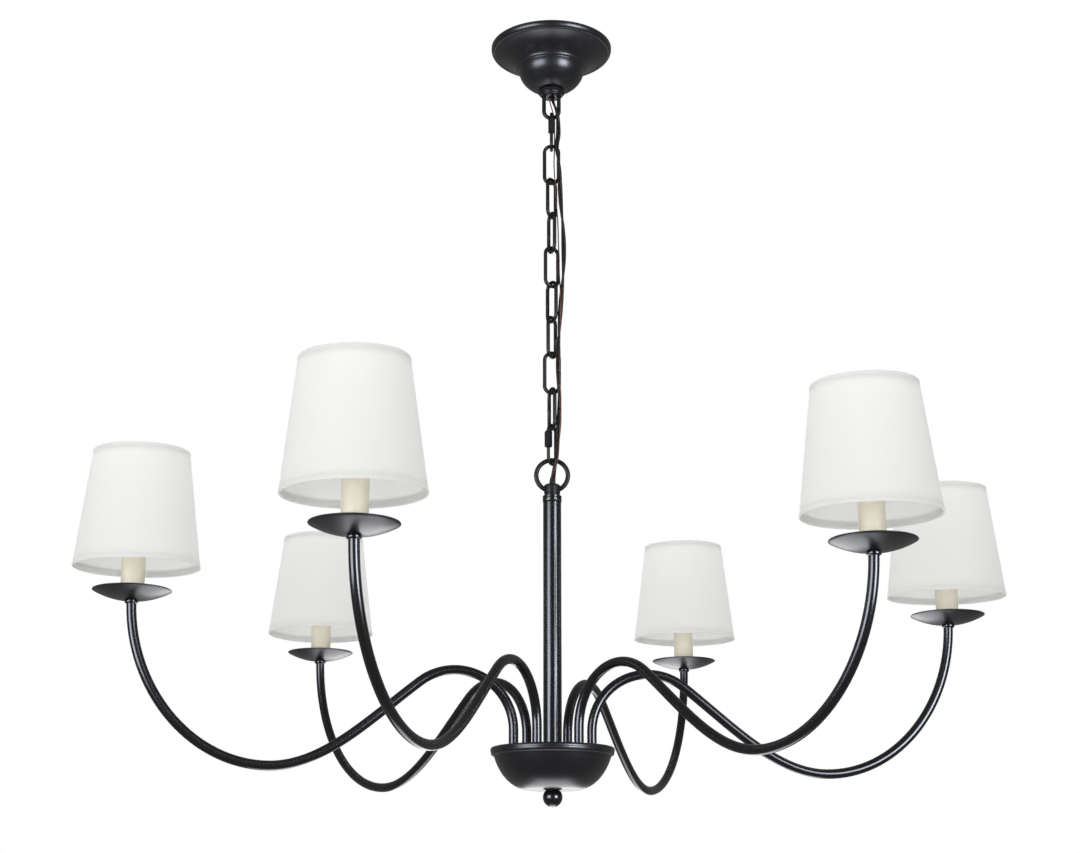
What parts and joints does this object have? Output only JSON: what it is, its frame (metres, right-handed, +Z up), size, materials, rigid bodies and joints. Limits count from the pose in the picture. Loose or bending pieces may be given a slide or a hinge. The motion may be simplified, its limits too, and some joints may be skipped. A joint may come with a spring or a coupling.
{
  "type": "multi arm chandelier",
  "caption": "Chain-hung black metal chandelier with curved arms, candle sleeves, drip pans and white tapered clip-on fabric shades.",
  "frame": {"origin": "centre of the ceiling plane, where the centre nipple meets the ceiling; everything hangs below it", "axes": "+Z up out of the ceiling, +X to the right and -Y towards the viewer of the front"},
  "size_m": [0.9038, 0.853, 0.7903],
  "materials": {
    "black_metal": "satin black powder coat",
    "zinc_steel": "zinc plated",
    "raw_brass": "turned",
    "bare_copper": "dull copper wire, aged to brown",
    "cord_jacket": "smooth black twisted pair",
    "ivory_sleeve": "eggshell",
    "frosted_glass": "frosted",
    "white_fabric": "plain weave laminated to a white liner"
  },
  "bodies": {
    "ceiling_bracket": {"mounting_strap": "zinc_steel", "strap_screw_1": "zinc_steel", "strap_screw_2": "zinc_steel", "center_nipple": "raw_brass", "nipple_locknut": "zinc_steel", "canopy_loop": "black_metal", "lamp_cord": "cord_jacket", "ground_wire": "bare_copper"},
    "canopy": {"canopy": "black_metal"},
    "loop_collar": {"loop_collar": "black_metal"},
    "upper_quick_link": {"upper_quick_link": "black_metal"},
    "upper_nut": {"upper_quick_link_nut": "black_metal"},
    "chain_link_1": {"chain_link_1": "black_metal"},
    "chain_link_2": {"chain_link_2": "black_metal"},
    "chain_link_3": {"chain_link_3": "black_metal"},
    "chain_link_4": {"chain_link_4": "black_metal"},
    "chain_link_5": {"chain_link_5": "black_metal"},
    "chain_link_6": {"chain_link_6": "black_metal"},
    "chain_link_7": {"chain_link_7": "black_metal"},
    "chain_link_8": {"chain_link_8": "black_metal"},
    "lower_quick_link": {"lower_quick_link": "black_metal"},
    "lower_nut": {"lower_quick_link_nut": "black_metal"},
    "fixture": {"column_loop": "black_metal", "column_collar": "black_metal", "column": "black_metal", "hub_plate": "black_metal", "hub_rod": "zinc_steel", "hub_nut": "zinc_steel", "arm_1": "black_metal", "arm_2": "black_metal", "arm_3": "black_metal", "arm_4": "black_metal", "arm_5": "black_metal", "arm_6": "black_metal", "drip_pan_1": "black_metal", "drip_pan_2": "black_metal", "drip_pan_3": "black_metal", "drip_pan_4": "black_metal", "drip_pan_5": "black_metal", "drip_pan_6": "black_metal", "candle_sleeve_1": "ivory_sleeve", "candle_sleeve_2": "ivory_sleeve", "candle_sleeve_3": "ivory_sleeve", "candle_sleeve_4": "ivory_sleeve", "candle_sleeve_5": "ivory_sleeve", "candle_sleeve_6": "ivory_sleeve"},
    "hub_bowl": {"hub_bowl": "black_metal"},
    "finial": {"finial": "black_metal"},
    "bulb_1": {"bulb_1": "frosted_glass"},
    "shade_1": {"shade_1": "white_fabric"},
    "bulb_2": {"bulb_2": "frosted_glass"},
    "shade_2": {"shade_2": "white_fabric"},
    "bulb_3": {"bulb_3": "frosted_glass"},
    "shade_3": {"shade_3": "white_fabric"},
    "bulb_4": {"bulb_4": "frosted_glass"},
    "shade_4": {"shade_4": "white_fabric"},
    "bulb_5": {"bulb_5": "frosted_glass"},
    "shade_5": {"shade_5": "white_fabric"},
    "bulb_6": {"bulb_6": "frosted_glass"},
    "shade_6": {"shade_6": "white_fabric"}
  },
  "joints": [
    {"name": "canopy_slide", "type": "slide", "parent": "ceiling_bracket", "child": "canopy", "axis": [0, 0, -1], "range_m": [0, 0.06], "deforming": ["lamp_cord", "ground_wire"]},
    {"name": "collar_turn", "type": "hinge", "parent": "canopy", "child": "loop_collar", "pos_m": [0, 0, -0.0524], "axis": [0, 0, 1], "continuous": true},
    {"name": "upper_quick_link_swing", "type": "hinge", "parent": "ceiling_bracket", "child": "upper_quick_link", "pos_m": [0, 0, -0.08028], "axis": [1, 0, 0], "range_deg": [-4, 4], "deforming": ["lamp_cord", "ground_wire"]},
    {"name": "upper_nut_slide", "type": "slide", "parent": "upper_quick_link", "child": "upper_nut", "axis": [0, 0, -1], "range_m": [0, 0.009]},
    {"name": "chain_link_1_swing", "type": "hinge", "parent": "upper_quick_link", "child": "chain_link_1", "pos_m": [0, 0, -0.11628], "axis": [0, 1, 0], "range_deg": [-6, 6], "deforming": ["lamp_cord", "ground_wire"]},
    {"name": "chain_link_2_swing", "type": "hinge", "parent": "chain_link_1", "child": "chain_link_2", "pos_m": [0, 0, -0.15438], "axis": [1, 0, 0], "range_deg": [-6, 6], "deforming": ["lamp_cord", "ground_wire"]},
    {"name": "chain_link_3_swing", "type": "hinge", "parent": "chain_link_2", "child": "chain_link_3", "pos_m": [0, 0, -0.19228], "axis": [0.5592, 0.829, 0], "range_deg": [-6, 6], "deforming": ["lamp_cord", "ground_wire"]},
    {"name": "chain_link_4_swing", "type": "hinge", "parent": "chain_link_3", "child": "chain_link_4", "pos_m": [0, 0, -0.23018], "axis": [-0.4067, 0.9135, 0], "range_deg": [-6, 6], "deforming": ["lamp_cord", "ground_wire"]},
    {"name": "chain_link_5_swing", "type": "hinge", "parent": "chain_link_4", "child": "chain_link_5", "pos_m": [0, 0, -0.26808], "axis": [0.8746, 0.4848, 0], "range_deg": [-6, 6], "deforming": ["lamp_cord", "ground_wire"]},
    {"name": "chain_link_6_swing", "type": "hinge", "parent": "chain_link_5", "child": "chain_link_6", "pos_m": [0, 0, -0.30598], "axis": [-0.5878, 0.809, 0], "range_deg": [-6, 6], "deforming": ["lamp_cord", "ground_wire"]},
    {"name": "chain_link_7_swing", "type": "hinge", "parent": "chain_link_6", "child": "chain_link_7", "pos_m": [0, 0, -0.34388], "axis": [0.515, 0.8572, 0], "range_deg": [-6, 6], "deforming": ["lamp_cord", "ground_wire"]},
    {"name": "chain_link_8_swing", "type": "hinge", "parent": "chain_link_7", "child": "chain_link_8", "pos_m": [0, 0, -0.38178], "axis": [1, 0, 0], "range_deg": [-6, 6], "deforming": ["lamp_cord", "ground_wire"]},
    {"name": "lower_quick_link_swing", "type": "hinge", "parent": "chain_link_8", "child": "lower_quick_link", "pos_m": [0, 0, -0.41968], "axis": [-0.3746, 0.9272, 0], "range_deg": [-6, 6], "deforming": ["lamp_cord", "ground_wire"]},
    {"name": "lower_nut_slide", "type": "slide", "parent": "lower_quick_link", "child": "lower_nut", "axis": [0, 0, -1], "range_m": [0, 0.009]},
    {"name": "fixture_turn", "type": "hinge", "parent": "lower_quick_link", "child": "fixture", "pos_m": [0, 0, -0.45588], "axis": [0, 0, 1], "range_deg": [-50, 0], "deforming": ["lamp_cord", "ground_wire"]},
    {"name": "bowl_slide", "type": "slide", "parent": "fixture", "child": "hub_bowl", "axis": [0, 0, -1], "range_m": [0, 0.05]},
    {"name": "finial_turn", "type": "hinge", "parent": "hub_bowl", "child": "finial", "pos_m": [0, 0, -0.781], "axis": [0, 0, 1], "continuous": true},
    {"name": "bulb_1_turn", "type": "hinge", "parent": "fixture", "child": "bulb_1", "pos_m": [0.39599, 0.05284, -0.545], "axis": [0, 0, 1], "continuous": true},
    {"name": "shade_1_lift", "type": "slide", "parent": "bulb_1", "child": "shade_1", "axis": [0, 0, 1], "range_m": [0, 0.12]},
    {"name": "bulb_2_turn", "type": "hinge", "parent": "fixture", "child": "bulb_2", "pos_m": [0.1561, 0.36774, -0.545], "axis": [0, 0, 1], "continuous": true},
    {"name": "shade_2_lift", "type": "slide", "parent": "bulb_2", "child": "shade_2", "axis": [0, 0, 1], "range_m": [0, 0.12]},
    {"name": "bulb_3_turn", "type": "hinge", "parent": "fixture", "child": "bulb_3", "pos_m": [-0.26104, 0.30242, -0.545], "axis": [0, 0, 1], "continuous": true},
    {"name": "shade_3_lift", "type": "slide", "parent": "bulb_3", "child": "shade_3", "axis": [0, 0, 1], "range_m": [0, 0.12]},
    {"name": "bulb_4_turn", "type": "hinge", "parent": "fixture", "child": "bulb_4", "pos_m": [-0.39048, -0.08442, -0.545], "axis": [0, 0, 1], "continuous": true},
    {"name": "shade_4_lift", "type": "slide", "parent": "bulb_4", "child": "shade_4", "axis": [0, 0, 1], "range_m": [0, 0.12]},
    {"name": "bulb_5_turn", "type": "hinge", "parent": "fixture", "child": "bulb_5", "pos_m": [-0.1561, -0.36774, -0.545], "axis": [0, 0, 1], "continuous": true},
    {"name": "shade_5_lift", "type": "slide", "parent": "bulb_5", "child": "shade_5", "axis": [0, 0, 1], "range_m": [0, 0.12]},
    {"name": "bulb_6_turn", "type": "hinge", "parent": "fixture", "child": "bulb_6", "pos_m": [0.25786, -0.30514, -0.545], "axis": [0, 0, 1], "continuous": true},
    {"name": "shade_6_lift", "type": "slide", "parent": "bulb_6", "child": "shade_6", "axis": [0, 0, 1], "range_m": [0, 0.12]}
  ]
}
